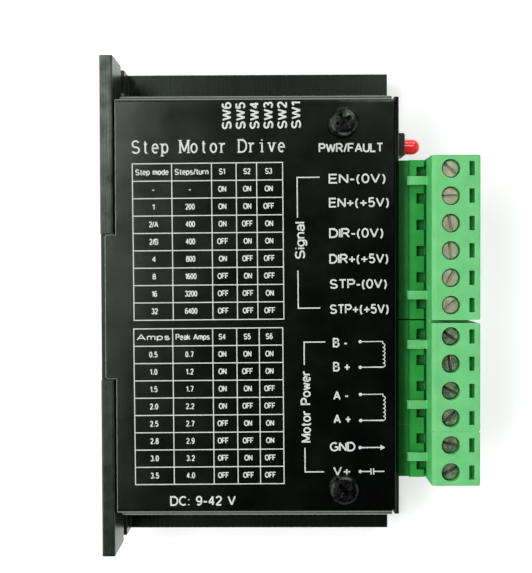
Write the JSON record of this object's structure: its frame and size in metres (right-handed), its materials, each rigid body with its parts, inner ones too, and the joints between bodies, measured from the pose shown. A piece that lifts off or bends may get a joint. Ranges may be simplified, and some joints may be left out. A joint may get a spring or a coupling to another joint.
{
  "type": "stepper motor driver module",
  "caption": "Boxed motor drive on a finned L-shaped heat sink, with pluggable screw terminals, a red lamp, option switches and a printed cover.",
  "frame": {"origin": "middle of the footprint, on the plane of the fin tips", "axes": "+X from the slotted mounting leg to the plug fronts, +Y along the extrusion towards the option switches, +Z out of the printed cover"},
  "size_m": [0.0716, 0.096, 0.037],
  "materials": {
    "black_anodised": "black anodised, satin",
    "black_paint": "fine-textured black powder coat",
    "dark_steel": "black zinc",
    "bright_steel": "zinc plated",
    "zinc_steel": "zinc plated, slightly yellow",
    "cage_metal": "nickel plated",
    "brass": "turned brass",
    "tin": "tinned",
    "contact_metal": "tinned brass",
    "green_board": "green solder mask",
    "black_epoxy": "moulded epoxy",
    "black_ceramic": "ceramic",
    "ceramic": "ceramic",
    "grey_pad": "soft thermal pad",
    "capacitor_sleeve": "shrink sleeve",
    "black_nylon": "moulded nylon",
    "red_lens": "diffused red epoxy",
    "blue_plastic": "moulded",
    "white_plastic": "moulded",
    "green_plastic": "moulded polyamide"
  },
  "bodies": {
    "chassis": {"board_spacers": "brass", "bulk_capacitors": "capacitor_sleeve", "circuit_board": "green_board", "cover": "black_paint", "cover_screws": "dark_steel", "cover_spacers": "brass", "driver_chip": "black_epoxy", "driver_chip_leads": "tin", "header_pins": "tin", "heatsink": "black_anodised", "indicator_lamp": "red_lens", "inner_screws": "bright_steel", "lamp_holder": "black_nylon", "lamp_leads": "tin", "motor_header": "green_plastic", "power_header": "green_plastic", "sense_resistors": "black_ceramic", "signal_header": "green_plastic", "small_chips": "black_epoxy", "small_components": "ceramic", "switch_body": "blue_plastic", "switch_pins": "tin", "thermal_pad": "grey_pad", "voltage_regulator": "black_epoxy"},
    "signal_plug": {"signal_plug_housing": "green_plastic", "signal_plug_contacts": "contact_metal"},
    "motor_plug": {"motor_plug_housing": "green_plastic", "motor_plug_contacts": "contact_metal"},
    "power_plug": {"power_plug_housing": "green_plastic", "power_plug_contacts": "contact_metal"},
    "screw_1": {"terminal_screw_1": "zinc_steel"},
    "cage_1": {"clamp_cage_1": "cage_metal"},
    "screw_2": {"terminal_screw_2": "zinc_steel"},
    "cage_2": {"clamp_cage_2": "cage_metal"},
    "screw_3": {"terminal_screw_3": "zinc_steel"},
    "cage_3": {"clamp_cage_3": "cage_metal"},
    "screw_4": {"terminal_screw_4": "zinc_steel"},
    "cage_4": {"clamp_cage_4": "cage_metal"},
    "screw_5": {"terminal_screw_5": "zinc_steel"},
    "cage_5": {"clamp_cage_5": "cage_metal"},
    "screw_6": {"terminal_screw_6": "zinc_steel"},
    "cage_6": {"clamp_cage_6": "cage_metal"},
    "screw_7": {"terminal_screw_7": "zinc_steel"},
    "cage_7": {"clamp_cage_7": "cage_metal"},
    "screw_8": {"terminal_screw_8": "zinc_steel"},
    "cage_8": {"clamp_cage_8": "cage_metal"},
    "screw_9": {"terminal_screw_9": "zinc_steel"},
    "cage_9": {"clamp_cage_9": "cage_metal"},
    "screw_10": {"terminal_screw_10": "zinc_steel"},
    "cage_10": {"clamp_cage_10": "cage_metal"},
    "screw_11": {"terminal_screw_11": "zinc_steel"},
    "cage_11": {"clamp_cage_11": "cage_metal"},
    "screw_12": {"terminal_screw_12": "zinc_steel"},
    "cage_12": {"clamp_cage_12": "cage_metal"},
    "slider_1": {"switch_slider_1": "white_plastic"},
    "slider_2": {"switch_slider_2": "white_plastic"},
    "slider_3": {"switch_slider_3": "white_plastic"},
    "slider_4": {"switch_slider_4": "white_plastic"},
    "slider_5": {"switch_slider_5": "white_plastic"},
    "slider_6": {"switch_slider_6": "white_plastic"}
  },
  "joints": [
    {"name": "signal_plug_pull", "type": "slide", "parent": "chassis", "child": "signal_plug", "axis": [1, 0, 0], "range_m": [0, 0.012]},
    {"name": "motor_plug_pull", "type": "slide", "parent": "chassis", "child": "motor_plug", "axis": [1, 0, 0], "range_m": [0, 0.012]},
    {"name": "power_plug_pull", "type": "slide", "parent": "chassis", "child": "power_plug", "axis": [1, 0, 0], "range_m": [0, 0.012]},
    {"name": "screw_1_turn", "type": "hinge", "parent": "signal_plug", "child": "screw_1", "pos_m": [0.0303, 0.02575, 0.0339], "axis": [0, 0, -1], "range_deg": [0, 1980]},
    {"name": "cage_1_rise", "type": "slide", "parent": "signal_plug", "child": "cage_1", "axis": [0, 0, 1], "range_m": [0, 0.00275]},
    {"name": "screw_2_turn", "type": "hinge", "parent": "signal_plug", "child": "screw_2", "pos_m": [0.0303, 0.02067, 0.0339], "axis": [0, 0, -1], "range_deg": [0, 1980]},
    {"name": "cage_2_rise", "type": "slide", "parent": "signal_plug", "child": "cage_2", "axis": [0, 0, 1], "range_m": [0, 0.00275]},
    {"name": "screw_3_turn", "type": "hinge", "parent": "signal_plug", "child": "screw_3", "pos_m": [0.0303, 0.01559, 0.0339], "axis": [0, 0, -1], "range_deg": [0, 1980]},
    {"name": "cage_3_rise", "type": "slide", "parent": "signal_plug", "child": "cage_3", "axis": [0, 0, 1], "range_m": [0, 0.00275]},
    {"name": "screw_4_turn", "type": "hinge", "parent": "signal_plug", "child": "screw_4", "pos_m": [0.0303, 0.01051, 0.0339], "axis": [0, 0, -1], "range_deg": [0, 1980]},
    {"name": "cage_4_rise", "type": "slide", "parent": "signal_plug", "child": "cage_4", "axis": [0, 0, 1], "range_m": [0, 0.00275]},
    {"name": "screw_5_turn", "type": "hinge", "parent": "signal_plug", "child": "screw_5", "pos_m": [0.0303, 0.00543, 0.0339], "axis": [0, 0, -1], "range_deg": [0, 1980]},
    {"name": "cage_5_rise", "type": "slide", "parent": "signal_plug", "child": "cage_5", "axis": [0, 0, 1], "range_m": [0, 0.00275]},
    {"name": "screw_6_turn", "type": "hinge", "parent": "signal_plug", "child": "screw_6", "pos_m": [0.0303, 0.00035, 0.0339], "axis": [0, 0, -1], "range_deg": [0, 1980]},
    {"name": "cage_6_rise", "type": "slide", "parent": "signal_plug", "child": "cage_6", "axis": [0, 0, 1], "range_m": [0, 0.00275]},
    {"name": "screw_7_turn", "type": "hinge", "parent": "motor_plug", "child": "screw_7", "pos_m": [0.0303, -0.0055, 0.0339], "axis": [0, 0, -1], "range_deg": [0, 1980]},
    {"name": "cage_7_rise", "type": "slide", "parent": "motor_plug", "child": "cage_7", "axis": [0, 0, 1], "range_m": [0, 0.00275]},
    {"name": "screw_8_turn", "type": "hinge", "parent": "motor_plug", "child": "screw_8", "pos_m": [0.0303, -0.01058, 0.0339], "axis": [0, 0, -1], "range_deg": [0, 1980]},
    {"name": "cage_8_rise", "type": "slide", "parent": "motor_plug", "child": "cage_8", "axis": [0, 0, 1], "range_m": [0, 0.00275]},
    {"name": "screw_9_turn", "type": "hinge", "parent": "motor_plug", "child": "screw_9", "pos_m": [0.0303, -0.01566, 0.0339], "axis": [0, 0, -1], "range_deg": [0, 1980]},
    {"name": "cage_9_rise", "type": "slide", "parent": "motor_plug", "child": "cage_9", "axis": [0, 0, 1], "range_m": [0, 0.00275]},
    {"name": "screw_10_turn", "type": "hinge", "parent": "motor_plug", "child": "screw_10", "pos_m": [0.0303, -0.02074, 0.0339], "axis": [0, 0, -1], "range_deg": [0, 1980]},
    {"name": "cage_10_rise", "type": "slide", "parent": "motor_plug", "child": "cage_10", "axis": [0, 0, 1], "range_m": [0, 0.00275]},
    {"name": "screw_11_turn", "type": "hinge", "parent": "power_plug", "child": "screw_11", "pos_m": [0.0303, -0.02582, 0.0339], "axis": [0, 0, -1], "range_deg": [0, 1980]},
    {"name": "cage_11_rise", "type": "slide", "parent": "power_plug", "child": "cage_11", "axis": [0, 0, 1], "range_m": [0, 0.00275]},
    {"name": "screw_12_turn", "type": "hinge", "parent": "power_plug", "child": "screw_12", "pos_m": [0.0303, -0.0309, 0.0339], "axis": [0, 0, -1], "range_deg": [0, 1980]},
    {"name": "cage_12_rise", "type": "slide", "parent": "power_plug", "child": "cage_12", "axis": [0, 0, 1], "range_m": [0, 0.00275]},
    {"name": "slider_1_push", "type": "slide", "parent": "chassis", "child": "slider_1", "axis": [0, 0, 1], "range_m": [0, 0.0018]},
    {"name": "slider_2_push", "type": "slide", "parent": "chassis", "child": "slider_2", "axis": [0, 0, 1], "range_m": [0, 0.0018]},
    {"name": "slider_3_push", "type": "slide", "parent": "chassis", "child": "slider_3", "axis": [0, 0, 1], "range_m": [0, 0.0018]},
    {"name": "slider_4_push", "type": "slide", "parent": "chassis", "child": "slider_4", "axis": [0, 0, 1], "range_m": [0, 0.0018]},
    {"name": "slider_5_push", "type": "slide", "parent": "chassis", "child": "slider_5", "axis": [0, 0, 1], "range_m": [0, 0.0018]},
    {"name": "slider_6_push", "type": "slide", "parent": "chassis", "child": "slider_6", "axis": [0, 0, 1], "range_m": [0, 0.0018]}
  ],
  "couplings": [
    {"joint": "screw_1_turn", "follows": "cage_1_rise", "rad_per_m": 12566},
    {"joint": "screw_2_turn", "follows": "cage_2_rise", "rad_per_m": 12566},
    {"joint": "screw_3_turn", "follows": "cage_3_rise", "rad_per_m": 12566},
    {"joint": "screw_4_turn", "follows": "cage_4_rise", "rad_per_m": 12566},
    {"joint": "screw_5_turn", "follows": "cage_5_rise", "rad_per_m": 12566},
    {"joint": "screw_6_turn", "follows": "cage_6_rise", "rad_per_m": 12566},
    {"joint": "screw_7_turn", "follows": "cage_7_rise", "rad_per_m": 12566},
    {"joint": "screw_8_turn", "follows": "cage_8_rise", "rad_per_m": 12566},
    {"joint": "screw_9_turn", "follows": "cage_9_rise", "rad_per_m": 12566},
    {"joint": "screw_10_turn", "follows": "cage_10_rise", "rad_per_m": 12566},
    {"joint": "screw_11_turn", "follows": "cage_11_rise", "rad_per_m": 12566},
    {"joint": "screw_12_turn", "follows": "cage_12_rise", "rad_per_m": 12566}
  ]
}
